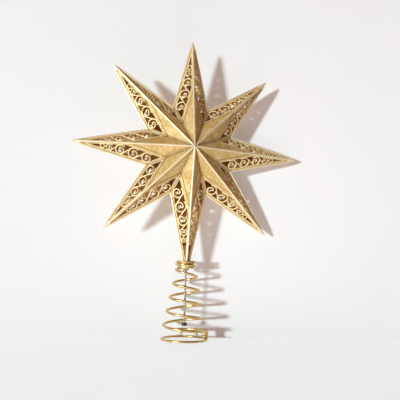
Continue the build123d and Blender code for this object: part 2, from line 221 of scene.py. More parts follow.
floor_shades = [(0.43, 0.43, 0.43), (0.40, 0.40, 0.40), (0.37, 0.37, 0.37)]
card_shades = [(0.69, 0.68, 0.665), (0.765, 0.758, 0.75), (0.96, 0.96, 0.955)]
floor_glow = (0.665, 0.702, 0.722)
card_glow = (0.226, 0.209, 0.206)
floor.data.materials.append(paper_material("floor_paper", floor_shades, floor_glow, one_sided=False))
card.data.materials.append(paper_material("card_paper", card_shades, card_glow, one_sided=True))
print("paper on", floor.name, "and", card.name)

# %% [markdown]
# ## Light
# The shadows fall to the right, and facets that look left are bright while those that look right
# are deep brown. So the key light stands low on the left, far enough to light the card evenly. A
# wide lamp above it stands for the sky. Facets that look down are bright too, so a lamp
# that lies on the floor and shines up stands for what the white table throws back. The room itself
# is dim and warm.

# %% Key, sky, table and room
def aimed_at_star(name, data, place):
    lamp = bpy.data.objects.new(name, data)
    lamp.location = place
    aim = Vector((0, 0, star_height * mm)) - Vector(place)
    lamp.rotation_mode = "QUATERNION"
    lamp.rotation_quaternion = aim.to_track_quat("-Z", "Y")
    bpy.context.scene.collection.objects.link(lamp)
    return lamp


def soft_lamp(name, place, size, watts, colour):
    data = bpy.data.lights.new(name, "AREA")
    data.shape = "DISK"
    data.size = size
    data.energy = watts
    data.color = colour
    lamp = aimed_at_star(name, data, place)
    lamp.visible_camera = False
    return lamp


soft_lamp("key", (-1.785, -1.450, 0.064), size=0.25, watts=66.0, colour=(0.775, 0.93, 1.0))
soft_lamp("sky", (-1.10, -0.80, 2.10), size=2.4, watts=9.5, colour=(1.0, 0.36, 0.10))
bounce = soft_lamp(
    "table_bounce", (-0.02, -0.19, 0.004), size=0.24, watts=0.25, colour=(1.0, 0.80, 0.78)
)
bounce.rotation_mode = "XYZ"
bounce.rotation_euler = (math.pi, 0, 0)
room_colour = (1.0, 0.45, 0.12)
room_strength = 0.10
world = bpy.data.worlds.new("room")
world.use_nodes = True
room = world.node_tree.nodes["Background"]
room.inputs["Color"].default_value = (*room_colour, 1)
room.inputs["Strength"].default_value = room_strength
bpy.context.scene.world = world
print("lamps", [lamp.name for lamp in bpy.data.lights])

# %% [markdown]
# ## Gold finishes
# The star is pressed sheet with a fine sandy grain under gold lacquer. Painted shade darkens the
# grooves between the points and paints the inside of the star brown. Each of these is an effect of
# its own, so each is a small node group that several finishes share with their own values.

# %% Helpers for shader groups
def shader_group(name, inputs, outputs):
    group = bpy.data.node_groups.new(name, "ShaderNodeTree")
    for title, kind in inputs:
        group.interface.new_socket(name=title, in_out="INPUT", socket_type=kind)
    for title, kind in outputs:
        group.interface.new_socket(name=title, in_out="OUTPUT", socket_type=kind)
    entry = group.nodes.new("NodeGroupInput")
    leave = group.nodes.new("NodeGroupOutput")
    return group, entry, leave


def math_step(tree, operation, *values):
    step = tree.nodes.new("ShaderNodeMath")
    step.operation = operation
    for socket, value in zip(step.inputs, values):
        if isinstance(value, (int, float)):
            socket.default_value = value
        else:
            tree.links.new(value, socket)
    return step.outputs[0]


def blend_step(tree, factor, first, second):
    step = tree.nodes.new("ShaderNodeMix")
    step.data_type = "RGBA"
    tree.links.new(factor, step.inputs[0])
    for socket, colour in ((step.inputs[6], first), (step.inputs[7], second)):
        if isinstance(colour, tuple):
            socket.default_value = (*colour, 1)
        else:
            tree.links.new(colour, socket)
    return step.outputs[2]


def range_step(tree, value, low_in, high_in, low_out, high_out):
    step = tree.nodes.new("ShaderNodeMapRange")
    step.interpolation_type = "SMOOTHSTEP"
    for socket, given in zip(step.inputs, (value, low_in, high_in, low_out, high_out)):
        if isinstance(given, (int, float)):
            socket.default_value = given
        else:
            tree.links.new(given, socket)
    return step.outputs[0]


value_socket = "NodeSocketFloat"
vector_socket = "NodeSocketVector"
print("shader helpers ready")

# %% [markdown]
# ### Sandy grain
# The sheet looks sanded, with grains of about a millimetre and slow patches several times larger.
# Two noises give both, and small pits add to the first. Grain and pits drive the bump, while
# flecks of the grain and the patches drive the tone.

# %% Grain group
pit_reach = 0.6
pit_share = 0.45
fleck_range = (0.36, 0.66)
patch_range = (0.35, 0.65)
sandy_grain, entry, leave = shader_group(
    "sandy_grain",
    [("Place", vector_socket), ("Grains per Metre", value_socket), ("Patches per Metre", value_socket)],
    [("Height", value_socket), ("Fleck", value_socket), ("Patch", value_socket)],
)
grains = sandy_grain.nodes.new("ShaderNodeTexNoise")
grains.inputs["Detail"].default_value = 2.0
grains.inputs["Roughness"].default_value = 0.6
pits = sandy_grain.nodes.new("ShaderNodeTexVoronoi")
patches = sandy_grain.nodes.new("ShaderNodeTexNoise")
patches.inputs["Detail"].default_value = 3.0
for texture, rate in ((grains, 1), (pits, 1), (patches, 2)):
    sandy_grain.links.new(entry.outputs["Place"], texture.inputs["Vector"])
    sandy_grain.links.new(entry.outputs[rate], texture.inputs["Scale"])
pit_floor = range_step(sandy_grain, pits.outputs["Distance"], 0.0, pit_reach, 0.0, 1.0)
height = math_step(sandy_grain, "MULTIPLY_ADD", pit_floor, pit_share, grains.outputs["Fac"])
fleck = range_step(sandy_grain, grains.outputs["Fac"], *fleck_range, 0.0, 1.0)
patch = range_step(sandy_grain, patches.outputs["Fac"], *patch_range, 0.0, 1.0)
sandy_grain.links.new(height, leave.inputs["Height"])
sandy_grain.links.new(fleck, leave.inputs["Fleck"])
sandy_grain.links.new(patch, leave.inputs["Patch"])
print("group", sandy_grain.name)

# %% [markdown]
# ### Painted shade in the grooves
# Seen from the star's centre, ridges and grooves alternate every half sector. Folding the angle
# back and forth over half a sector gives the distance to the nearest groove at every place, on
# front and back alike, so no painted map is needed. Colour near a groove is darkened as painted shade.

# %% Painted groove shade group
painted_groove_shade, entry, leave = shader_group(
    "painted_groove_shade",
    [("Place", vector_socket), ("Centre Height", value_socket), ("Width", value_socket)],
    [("Groove", value_socket)],
)
axes = painted_groove_shade.nodes.new("ShaderNodeSeparateXYZ")
painted_groove_shade.links.new(entry.outputs["Place"], axes.inputs[0])
rise = math_step(painted_groove_shade, "SUBTRACT", axes.outputs["Z"], entry.outputs["Centre Height"])
angle = math_step(painted_groove_shade, "ARCTAN2", axes.outputs["X"], rise)
from_ridge = math_step(painted_groove_shade, "PINGPONG", angle, sector / 2)
from_groove = math_step(painted_groove_shade, "SUBTRACT", sector / 2, from_ridge)
squares = math_step(painted_groove_shade, "MULTIPLY", rise, rise)
squares = math_step(painted_groove_shade, "MULTIPLY_ADD", axes.outputs["X"], axes.outputs["X"], squares)
radius = math_step(painted_groove_shade, "SQRT", squares)
groove_gap = math_step(painted_groove_shade, "MULTIPLY", radius, math_step(painted_groove_shade, "SINE", from_groove))
# Painted shade mask: 1 at a groove, fading to 0 at the given width from it.
in_groove = range_step(painted_groove_shade, groove_gap, 0.0, entry.outputs["Width"], 1.0, 0.0)
painted_groove_shade.links.new(in_groove, leave.inputs["Groove"])
print("group", painted_groove_shade.name)

# %% [markdown]
# ### Painted shade inside the sheets
# The inner faces of the sheets are painted brown as the shade inside the hollow star, so that
# through the piercings the inside looks deep brown. A face looks inwards where its direction
# points back to the star's middle plane, on the front and on the back alike.

# %% Painted inside shade group
inside_range = (-0.45, 0.25)
painted_inside_shade, entry, leave = shader_group(
    "painted_inside_shade", [("Place", vector_socket), ("Facing", vector_socket)], [("Inside", value_socket)]
)
places = painted_inside_shade.nodes.new("ShaderNodeSeparateXYZ")
facing = painted_inside_shade.nodes.new("ShaderNodeSeparateXYZ")
painted_inside_shade.links.new(entry.outputs["Place"], places.inputs[0])
painted_inside_shade.links.new(entry.outputs["Facing"], facing.inputs[0])
half = math_step(painted_inside_shade, "SIGN", places.outputs["Y"])
outwards = math_step(painted_inside_shade, "MULTIPLY", facing.outputs["Y"], half)
# Painted shade mask: 1 on faces that look into the hollow star.
inside_shade = range_step(painted_inside_shade, outwards, *inside_range, 1.0, 0.0)
painted_inside_shade.links.new(inside_shade, leave.inputs["Inside"])
print("group", painted_inside_shade.name)

# %% [markdown]
# ### One recipe for the gold
# A finish mixes a deep and a pale gold by patches and flecks, darkens the grooves and the inside
# with painted shade and lets the grain raise the surface. Plain numbers stay on the shader's own
# sockets.

# %% Gold recipe
grains_per_patch = 7
least_pale = 0.05
patch_share = 0.40
fleck_share = 0.55
groove_shade_share = 0.4
inside_shade_share = 0.9
fleck_polish = 0.10
coat_weight = 0.12
coat_rough = 0.5
shine_level = 0.25
bump_strength = 0.75


def gold_finish(
    name, pale, deep, groove_shade_colour, grain_rate, grain_depth, rough, metal, groove_width, inside_shade=None
):
    material = bpy.data.materials.new(name)
    material.use_nodes = True
    tree = material.node_tree
    shader = tree.nodes["Principled BSDF"]
    place = tree.nodes.new("ShaderNodeTexCoord")
    grain = tree.nodes.new("ShaderNodeGroup")
    grain.node_tree = sandy_grain
    grain.inputs["Grains per Metre"].default_value = grain_rate
    grain.inputs["Patches per Metre"].default_value = grain_rate / grains_per_patch
    tree.links.new(place.outputs["Object"], grain.inputs["Place"])
    groove = tree.nodes.new("ShaderNodeGroup")
    groove.node_tree = painted_groove_shade
    groove.inputs["Centre Height"].default_value = star_height * mm
    groove.inputs["Width"].default_value = groove_width
    tree.links.new(place.outputs["Object"], groove.inputs["Place"])
    uneven = math_step(tree, "MULTIPLY_ADD", grain.outputs["Patch"], patch_share, least_pale)
    uneven = math_step(tree, "MULTIPLY_ADD", grain.outputs["Fleck"], fleck_share, uneven)
    gold = blend_step(tree, uneven, deep, pale)
    # Painted shade: near each groove the gold is blended towards a dark groove colour.
    groove_shaded = math_step(tree, "MULTIPLY", groove.outputs["Groove"], groove_shade_share)
    gold = blend_step(tree, groove_shaded, gold, groove_shade_colour)
    # Painted shade: inward faces take the brown inside colour, standing for the shade in the hollow.
    if inside_shade:
        hollow = tree.nodes.new("ShaderNodeGroup")
        hollow.node_tree = painted_inside_shade
        geometry = tree.nodes.new("ShaderNodeNewGeometry")
        tree.links.new(place.outputs["Object"], hollow.inputs["Place"])
        tree.links.new(geometry.outputs["Normal"], hollow.inputs["Facing"])
        inside_shaded = math_step(tree, "MULTIPLY", hollow.outputs["Inside"], inside_shade_share)
        gold = blend_step(tree, inside_shaded, gold, inside_shade)
    tree.links.new(gold, shader.inputs["Base Color"])
    dullest = rough + fleck_polish / 2
    uneven_rough = math_step(tree, "MULTIPLY_ADD", grain.outputs["Fleck"], -fleck_polish, dullest)
    tree.links.new(uneven_rough, shader.inputs["Roughness"])
    shader.inputs["Metallic"].default_value = metal
    shader.inputs["Coat Weight"].default_value = coat_weight
    shader.inputs["Coat Roughness"].default_value = coat_rough
    shader.inputs["Specular IOR Level"].default_value = shine_level
    bump = tree.nodes.new("ShaderNodeBump")
    bump.inputs["Strength"].default_value = bump_strength
    bump.inputs["Distance"].default_value = grain_depth
    tree.links.new(grain.outputs["Height"], bump.inputs["Height"])
    tree.links.new(bump.outputs["Normal"], shader.inputs["Normal"])
    return material


# The pierced sheets' brown inside colour is painted shade of the hollow star.
pierced_gold = gold_finish(
    "pierced_gold", pale=(0.91, 0.71, 0.37), deep=(0.60, 0.37, 0.095), groove_shade_colour=(0.16, 0.065, 0.013),
    grain_rate=900, grain_depth=0.0008, rough=0.60, metal=0.45, groove_width=0.0030,
    inside_shade=(0.66, 0.34, 0.11),
)
panel_gold = gold_finish(
    "panel_gold", pale=(0.91, 0.71, 0.37), deep=(0.60, 0.37, 0.095), groove_shade_colour=(0.16, 0.07, 0.015),
    grain_rate=750, grain_depth=0.0012, rough=0.62, metal=0.45, groove_width=0.0030,
)
scroll_gold = gold_finish(
    "scroll_gold", pale=(0.97, 0.84, 0.53), deep=(0.86, 0.67, 0.33), groove_shade_colour=(0.36, 0.19, 0.05),
    grain_rate=1300, grain_depth=0.0002, rough=0.58, metal=0.50, groove_width=0.0020,
)
bead_gold = gold_finish(
    "bead_gold", pale=(0.97, 0.88, 0.66), deep=(0.90, 0.75, 0.46), groove_shade_colour=(0.50, 0.30, 0.10),
    grain_rate=1300, grain_depth=0.0002, rough=0.46, metal=0.60, groove_width=0.0010,
)
# Painted shadow: the edging gold is dark, standing for the shadow along each panel's edge.
edge_shadow_gold = gold_finish(
    "edge_shadow_gold", pale=(0.60, 0.41, 0.16), deep=(0.40, 0.24, 0.07), groove_shade_colour=(0.18, 0.08, 0.02),
    grain_rate=1300, grain_depth=0.0002, rough=0.55, metal=0.45, groove_width=0.0012,
)
wire_gold = gold_finish(
    "wire_gold", pale=(0.80, 0.62, 0.29), deep=(0.54, 0.36, 0.12), groove_shade_colour=(0.40, 0.24, 0.08),
    grain_rate=1300, grain_depth=0.0001, rough=0.30, metal=1.0, groove_width=0.0012,
)
fixing_gold = gold_finish(
    "fixing_gold", pale=(0.70, 0.53, 0.25), deep=(0.46, 0.30, 0.11), groove_shade_colour=(0.36, 0.20, 0.06),
    grain_rate=1300, grain_depth=0.0002, rough=0.52, metal=0.92, groove_width=0.0012,
)
dull_steel = gold_finish(
    "dull_steel", pale=(0.52, 0.43, 0.30), deep=(0.34, 0.26, 0.16), groove_shade_colour=(0.20, 0.14, 0.07),
    grain_rate=1300, grain_depth=0.0002, rough=0.55, metal=0.50, groove_width=0.0012,
)
# Dark brown for the stem cap, and painted shade for the socket plug that shows as a dark slot in the
# lower window.
dark_cap_and_plug_shade = gold_finish(
    "dark_cap_and_plug_shade", pale=(0.16, 0.085, 0.03), deep=(0.07, 0.035, 0.012), groove_shade_colour=(0.05, 0.025, 0.01),
    grain_rate=1300, grain_depth=0.0002, rough=0.45, metal=0.30, groove_width=0.0012,
)
print("finishes:", [material.name for material in bpy.data.materials])

# %% Finishes on the solid pieces
finish_of_start = {
    "front_cover": pierced_gold, "back_cover": pierced_gold,
    "front_panel": panel_gold, "back_panel": panel_gold,
    "front_ridge": bead_gold, "back_ridge": bead_gold, "rim_wires": bead_gold,
    "front_seam": scroll_gold, "back_seam": scroll_gold, "tip_caps": bead_gold,
    # The socket plug is painted dark as the shade inside the lower point's window.
    "collar": fixing_gold, "socket_plug": dark_cap_and_plug_shade, "stem": dull_steel,
    "stem_nut": fixing_gold, "stem_cap": dark_cap_and_plug_shade,
    "spring": wire_gold, "base_ring": wire_gold, "end_clip": wire_gold, "base_ties": wire_gold,
}
for name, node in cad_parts.items():
    starts = [start for start in finish_of_start if name.startswith(start)]
    finish = finish_of_start[max(starts, key=len)]
    for slot in node.material_slots:
        slot.material = finish
print("dressed", len(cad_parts), "solid pieces")

# %% [markdown]
# ## Facets of a point
# Every point is two flat facets on the front and two on the back. One facet is enough to draw
# on: its own flat coordinates run along the ridge and across to the groove, and mirror signs
# carry a drawing to the other three. The lower point is longer, so it has a facet of its own.

# %% Facet coordinates
class Facet:
    """The front left facet of an upright point: along its ridge, across to the groove, and out."""

    def __init__(self, reach):
        self.apex = Vector((0, -apex_height, 0))
        tip = Vector((0, 0, reach))
        valley = Vector((-valley_side, 0, valley_reach))
        self.along = (tip - self.apex).normalized()
        out = (valley - self.apex).cross(self.along).normalized()
        self.out = out if out.y < 0 else -out
        self.across = self.out.cross(self.along)
        self.tip = Vector(((tip - self.apex).length, 0))
        to_valley = valley - self.apex
        self.valley = Vector((to_valley.dot(self.along), to_valley.dot(self.across)))

    def place(self, flat, lift, side, face):
        spot = self.apex + self.along * flat.x + self.across * flat.y + self.out * lift
        return Vector((spot.x * side, spot.y * face, spot.z)) * mm


usual_facet = Facet(tip_radius)
lower_facet = Facet(lower_tip_radius)
print("ridge", round(usual_facet.tip.x, 1), "mm, groove corner", usual_facet.valley[:])

# %% [markdown]
# ## Scrollwork
# A run of scrolls fills each window: a strand that leaves the inner border, rounds to the rim and
# tightens to a ball, and a tail that runs out to the rim. The sheet below is cut flat to match. The
# back has rings round one eye in each scroll instead, for little light comes through the star.
# Here each strand is drawn as a line on the facet, and the lines become round beads, as cast.

# %% Window borders
rim_border = 2.1
ridge_border = 1.8
valley_border = 1.8
panel_border = 3.0
panel_ridge_length = 62.0
panel_valley_share = 0.565


class Border:
    """A straight edge of a window: a start, the way it runs and the way in."""

    def __init__(self, start, end, inside_shade, border):
        self.along = (end - start).normalized()
        across = Vector((-self.along.y, self.along.x))
        self.across = across if across.dot(inside_shade - start) > 0 else -across
        self.start = start + self.across * border

    def depth(self, spot):
        return self.across.dot(spot - self.start)

    def crossing(self, other):
        return self.start - self.along * (other.depth(self.start) / other.across.dot(self.along))


def window_of(facet):
    root = Vector((0, 0))
    panel_end = Vector((panel_ridge_length, 0))
    return (
        Border(facet.valley, facet.tip, root, rim_border),
        Border(root, facet.valley, facet.tip, valley_border),
        Border(facet.valley * panel_valley_share, panel_end, facet.valley, panel_border),
        Border(root, facet.tip, facet.valley, ridge_border),
    )


print("window corners", [
    one.crossing(other)[:] for one, other in zip(window_of(usual_facet), window_of(usual_facet)[1:])
])

# %% Scroll places
scroll_spacing_share = 1.25
least_scroll = 2.0
halvings = 60


def zero_of(rising, low_end, high_end):
    for _ in range(halvings):
        middle = (low_end + high_end) / 2
        low_end, high_end = (middle, high_end) if rising(middle) < 0 else (low_end, middle)
    return (low_end + high_end) / 2


def scrolls_of(facet):
    """Centres and radii from the wide end of the window to its tip."""
    rim, side, panel, ridge = window_of(facet)

    def scroll_at(reach):
        foot = rim.start + rim.along * reach
        size = min(edge.depth(foot) / (1 - edge.across.dot(rim.across)) for edge in (panel, ridge))
        return foot + rim.across * size, size

    def clear_of_side(reach):
        centre, size = scroll_at(reach)
        return side.depth(centre) - size

    end = (rim.crossing(ridge) - rim.start).length
    reach = zero_of(clear_of_side, 0, end)
    scrolls = [scroll_at(reach)]
    while scrolls[-1][1] > least_scroll:
        before, before_size = scrolls[-1]

        def clear_of_last(spot):
            centre, size = scroll_at(spot)
            return (centre - before).length - scroll_spacing_share * (size + before_size)

        reach = zero_of(clear_of_last, reach, end)
        scrolls.append(scroll_at(reach))
    return scrolls[:-1]


print("scroll radii", [round(size, 2) for _, size in scrolls_of(usual_facet)])

# %% Strands of one facet
strand = 1.25
thin_strand = 0.75
strand_share = 0.27
scroll_lap = 0.25
curl_shares = (0.42, 0.1)
curl_lead = math.radians(40)
least_curl = 2.6
ball_share = 0.72
ring_swell = 0.1
ring_steps = 36
volute_steps = (20, 14, 9)
tail_lap_share = 0.35
tail_past_rim = 0.6
tail_steps = 6
frame_bead = 0.42
frame_outset_share = 0.6


def strand_width(size):
    return max(thin_strand, min(strand, strand_share * size))


def arc(centre, size, start, sweep, steps):
    angles = [start + sweep * step / steps for step in range(steps + 1)]
    return [centre + Vector((math.cos(angle), math.sin(angle))) * size for angle in angles]


def ring_line(centre, size):
    width = strand_width(size)
    spots = arc(centre, size - width / 2 + ring_swell, 0, 2 * math.pi, ring_steps)
    return spots[:-1], width / 2, True


def volute_lines(centre, size, rim):
    """The strand of one open scroll and the ball at its end."""
    width = strand_width(size)
    outer = size + scroll_lap - width / 2
    middle, inner = (size * share for share in curl_shares)
    heading = -rim.across
    start = math.atan2(heading.y, heading.x)
    round_steps, first_steps, second_steps = volute_steps
    first_centre = centre + heading * ((outer - middle) / 2)
    second_centre = centre - heading * ((middle - inner) / 2)
    spots = arc(centre, outer, start + math.pi - curl_lead, math.pi + curl_lead, round_steps)
    spots += arc(first_centre, (outer + middle) / 2, start, math.pi, first_steps)[1:]
    spots += arc(second_centre, (middle + inner) / 2, start + math.pi, math.pi, second_steps)[1:]
    return [(spots, width / 2, False), (spots[-3:], width * ball_share, False)]


def tail_line(first, second, rim):
    (start, start_size), (end, end_size) = first, second
    between = end - start
    touch = start_size - strand_width(start_size) * tail_lap_share
    touch_end = end_size - strand_width(end_size) * tail_lap_share
    lean = math.acos((touch + touch_end) / between.length)
    away = Matrix.Rotation(-lean, 2) @ between.normalized()
    leaves = start + away * touch
    along = (end - away * touch_end - leaves).normalized()
    reach = (-tail_past_rim - rim.depth(leaves)) / rim.across.dot(along)
    spots = [leaves + along * (reach * step / tail_steps) for step in range(tail_steps + 1)]
    return spots, strand_width(end_size) / 2, False


def facet_strands(facet, open_scrolls):
    rim, side, panel, ridge = window_of(facet)
    scrolls = scrolls_of(facet)
    lines = []
    for centre, size in scrolls:
        if open_scrolls and size > least_curl:
            lines += volute_lines(centre, size, rim)
        else:
            lines.append(ring_line(centre, size))
    lines += [tail_line(one, other, rim) for one, other in zip(scrolls, scrolls[1:])]
    corners = [rim.crossing(side), side.crossing(panel), panel.crossing(ridge), ridge.crossing(rim)]
    middle = sum(corners, Vector((0, 0))) / len(corners)
    outset = frame_bead * frame_outset_share
    corners = [spot + (spot - middle).normalized() * outset for spot in corners]
    for one, other in zip(corners, corners[1:] + corners[:1]):
        lines.append(([one, (one + other) / 2, other], frame_bead, False))
    return lines


print("strands in a usual facet:", len(facet_strands(usual_facet, True)))

# %% [markdown]
# The lines of one point are copied round the star and swept into beads by one node tree. A
# sweep and a copy are both things that nodes do once for all points, and the tree's inputs keep
# the sizes in sight. The lower point's own lines come in as a second drawing.

# %% Drawing lines for the node tree
def line_drawing(name, lines):
    """A helper drawing of lines, each given as its places in metres, its radius and closed or not."""
    data = bpy.data.curves.new(name, "CURVE")
    data.dimensions = "3D"
    for places, thickness, closed in lines:
        spline = data.splines.new("POLY")
        spline.points.add(len(places) - 1)
        for point, spot in zip(spline.points, places):
            point.co = (*spot, 1)
            point.radius = thickness
        spline.use_cyclic_u = closed
    drawing = bpy.data.objects.new(name, data)
    bpy.context.scene.collection.objects.link(drawing)
    return drawing


def point_drawing(name, facet, lines, faces, lift_of):
    placed = []
    for flat_places, thickness, closed in lines:
        for side in (1, -1):
            for face in faces:
                places = [facet.place(spot, lift_of(thickness), side, face) for spot in flat_places]
                placed.append((places, thickness * mm, closed))
    return line_drawing(name, placed)


print("drawing helpers ready")

# %% Tree that carries beads round the star
def node_of(tree, kind, **settings):
    node = tree.nodes.new(kind)
    for name, value in settings.items():
        setattr(node, name, value)
    return node


beads_round_star = bpy.data.node_groups.new("beads_round_star", "GeometryNodeTree")
bead_inputs = {}
for title, kind in (
    ("Geometry", "NodeSocketGeometry"), ("Point Lines", "NodeSocketObject"),
    ("Lower Lines", "NodeSocketObject"), ("Point Count", "NodeSocketInt"),
    ("Lower Index", "NodeSocketInt"), ("Centre Height", "NodeSocketFloat"),
    ("Bead Sides", "NodeSocketInt"), ("Finish", "NodeSocketMaterial"),
):
    bead_inputs[title] = beads_round_star.interface.new_socket(
        name=title, in_out="INPUT", socket_type=kind
    ).identifier
beads_round_star.interface.new_socket(
    name="Geometry", in_out="OUTPUT", socket_type="NodeSocketGeometry"
)
tree = beads_round_star
given = node_of(tree, "NodeGroupInput")
made = node_of(tree, "NodeGroupOutput")
profile = node_of(tree, "GeometryNodeCurvePrimitiveCircle")
profile.inputs["Radius"].default_value = 1.0
tree.links.new(given.outputs["Bead Sides"], profile.inputs["Resolution"])
centres = node_of(tree, "GeometryNodePoints")
tree.links.new(given.outputs["Point Count"], centres.inputs["Count"])
height = node_of(tree, "ShaderNodeCombineXYZ")
tree.links.new(given.outputs["Centre Height"], height.inputs["Z"])
tree.links.new(height.outputs[0], centres.inputs["Position"])
index = node_of(tree, "GeometryNodeInputIndex")
step = math_step(tree, "DIVIDE", 2 * math.pi, given.outputs["Point Count"])
turn = node_of(tree, "ShaderNodeCombineXYZ")
tree.links.new(math_step(tree, "MULTIPLY", index.outputs[0], step), turn.inputs["Y"])
turned = node_of(tree, "FunctionNodeEulerToRotation")
tree.links.new(turn.outputs[0], turned.inputs[0])
together = node_of(tree, "GeometryNodeJoinGeometry")
for title, comparison in (("Point Lines", "NOT_EQUAL"), ("Lower Lines", "EQUAL")):
    drawing = node_of(tree, "GeometryNodeObjectInfo")
    tree.links.new(given.outputs[title], drawing.inputs["Object"])
    sweep = node_of(tree, "GeometryNodeCurveToMesh")
    sweep.inputs["Fill Caps"].default_value = True
    thickness = node_of(tree, "GeometryNodeInputRadius")
    tree.links.new(thickness.outputs[0], sweep.inputs["Scale"])
    tree.links.new(drawing.outputs["Geometry"], sweep.inputs["Curve"])
    tree.links.new(profile.outputs["Curve"], sweep.inputs["Profile Curve"])
    chosen = node_of(tree, "FunctionNodeCompare", data_type="INT", operation=comparison)
    whole = [socket for socket in chosen.inputs if socket.type == "INT"]
    tree.links.new(index.outputs[0], whole[0])
    tree.links.new(given.outputs["Lower Index"], whole[1])
    copies = node_of(tree, "GeometryNodeInstanceOnPoints")
    tree.links.new(centres.outputs[0], copies.inputs["Points"])
    tree.links.new(chosen.outputs["Result"], copies.inputs["Selection"])
    tree.links.new(sweep.outputs["Mesh"], copies.inputs["Instance"])
    tree.links.new(turned.outputs[0], copies.inputs["Rotation"])
    tree.links.new(copies.outputs["Instances"], together.inputs["Geometry"])
real = node_of(tree, "GeometryNodeRealizeInstances")
smooth = node_of(tree, "GeometryNodeSetShadeSmooth")
finish = node_of(tree, "GeometryNodeSetMaterial")
tree.links.new(together.outputs[0], real.inputs[0])
tree.links.new(real.outputs[0], smooth.inputs[0])
tree.links.new(smooth.outputs[0], finish.inputs["Geometry"])
tree.links.new(given.outputs["Finish"], finish.inputs["Material"])
tree.links.new(finish.outputs[0], made.inputs["Geometry"])
print("tree", tree.name, "with", len(tree.nodes), "nodes")


# %% Turning a tree into a plain piece
def piece_from_tree(name, tree, values, helpers):
    """Runs a node tree on an empty mesh and keeps the result as a plain mesh."""
    piece = bpy.data.objects.new(name, bpy.data.meshes.new(name))
    bpy.context.scene.collection.objects.link(piece)
    modifier = piece.modifiers.new("nodes", "NODES")
    modifier.node_group = tree
    for identifier, value in values.items():
        modifier[identifier] = value
    depsgraph = bpy.context.evaluated_depsgraph_get()
    mesh = bpy.data.meshes.new_from_object(piece.evaluated_get(depsgraph), depsgraph=depsgraph)
    piece.modifiers.remove(modifier)
    piece.data = mesh
    mesh.name = name
    for helper in helpers:
        bpy.data.objects.remove(helper)
    print(name, "has", sum(len(face.vertices) - 2 for face in mesh.polygons), "triangles")
    return piece


def beads_piece(name, usual_lines, lower_lines, faces, lift_of, sides, finish):
    usual_drawing = point_drawing(name + "_usual", usual_facet, usual_lines, faces, lift_of)
    lower_drawing = point_drawing(name + "_lower", lower_facet, lower_lines, faces, lift_of)
    values = {
        bead_inputs["Point Lines"]: usual_drawing,
        bead_inputs["Lower Lines"]: lower_drawing,
        bead_inputs["Point Count"]: point_count,
        bead_inputs["Lower Index"]: lower_index,
        bead_inputs["Centre Height"]: star_height * mm,
        bead_inputs["Bead Sides"]: sides,
        bead_inputs["Finish"]: finish,
    }
    return piece_from_tree(name, beads_round_star, values, (usual_drawing, lower_drawing))


# %% Scrollwork beads
bead_sink_share = 0.3
collar_clearance = 3.0
strand_sides = 7


def sunk_bead(thickness):
    return -bead_sink_share * thickness


def above_cut(lines, facet):
    """Lines of the lower point that end before the collar cuts it off."""
    limit = (lower_cut_radius - collar_clearance) / lower_tip_radius * facet.tip.x
    return [line for line in lines if max(spot.x for spot in line[0]) < limit]


for name, face in (("scrollwork_front", 1), ("scrollwork_back", -1)):
    usual_lines = facet_strands(usual_facet, face == 1)
    lower_lines = above_cut(facet_strands(lower_facet, face == 1), lower_facet)
    piece = beads_piece(
        name, usual_lines, lower_lines, (face,), sunk_bead, strand_sides, scroll_gold
    )
    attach(piece, "star")

# %% [markdown]
# ## Edging of the plain panels
# A fine raised line runs along the edge of each plain panel, just inside the windows. Its dark
# colour is a painted shadow of the panel's edge. It is a straight bead on each facet from the groove
# to the ridge, so the same tree carries it round.

# %% Panel edging
panel_sheet = 0.5
edging_radius = 0.5
edging_sink_share = 0.15
edging_sides = 8


def edging_of(facet):
    start = facet.valley * panel_valley_share
    end = Vector((panel_ridge_length, 0))
    return [([start, (start + end) / 2, end], edging_radius, False)]


def on_panel(thickness):
    return panel_sheet - edging_sink_share * thickness


panel_edging = beads_piece(
    "panel_edging", edging_of(usual_facet), edging_of(lower_facet), (1, -1), on_panel,
    edging_sides, edge_shadow_gold,
)
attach(panel_edging, "star")

# %% [markdown]
# ## Spring
# The spring is one wire wound in a cone: close under the collar, then open, and level at its foot
# end. Pitch and growth ramp up and down, so its line is worked out turn by turn. It bends where the
# star leans and shortens where the star is pressed down. It is made in two lengths that meet a
# little below the middle.

# %% Line of the spring
wire_radius = 1.25
close_turns = 0.5
ramp_turns = 0.5
open_turns = 4.1
foot_turns = 0.65
close_gap = 0.55
coil_top_radius = 8.95
coil_foot_radius = 21.2
coil_top_height = 71.8
coil_foot_height = 8.0
steps_per_turn = 56
coil_turns = close_turns + ramp_turns + open_turns + foot_turns
close_pitch = 2 * wire_radius + close_gap
half_ramp = ramp_turns / 2
steady_turns = half_ramp + open_turns + foot_turns / 2
coil_drop = coil_top_height - coil_foot_height
open_pitch = (coil_drop - close_pitch * (close_turns + half_ramp)) / steady_turns
spread = (coil_foot_radius - coil_top_radius) / steady_turns


def ramped(turn, close, opened):
    into = turn - close_turns
    if into <= 0:
        return close * turn
    if into < ramp_turns:
        return close * turn + (opened - close) * into * into / ramp_turns / 2
    ending = max(0, into - ramp_turns - open_turns)
    return close * turn + (opened - close) * (into - half_ramp) - opened * ending**2 / foot_turns / 2


def coil_at(turn):
    size = coil_top_radius + ramped(turn, 0, spread)
    angle = math.pi + 2 * math.pi * turn
    fall = ramped(turn, close_pitch, open_pitch)
    return Vector((math.cos(angle) * size, math.sin(angle) * size, coil_top_height - fall))


def coil_line(first_turn, last_turn):
    steps = round((last_turn - first_turn) * steps_per_turn)
    turns = [first_turn + (last_turn - first_turn) * step / steps for step in range(steps + 1)]
    return [coil_at(turn) for turn in turns]


whole_line = coil_line(0, coil_turns)
wire_length = sum((after - before).length for before, after in zip(whole_line, whole_line[1:]))
print("pitch", round(open_pitch, 2), "mm, wire length", round(wire_length, 1), "mm")

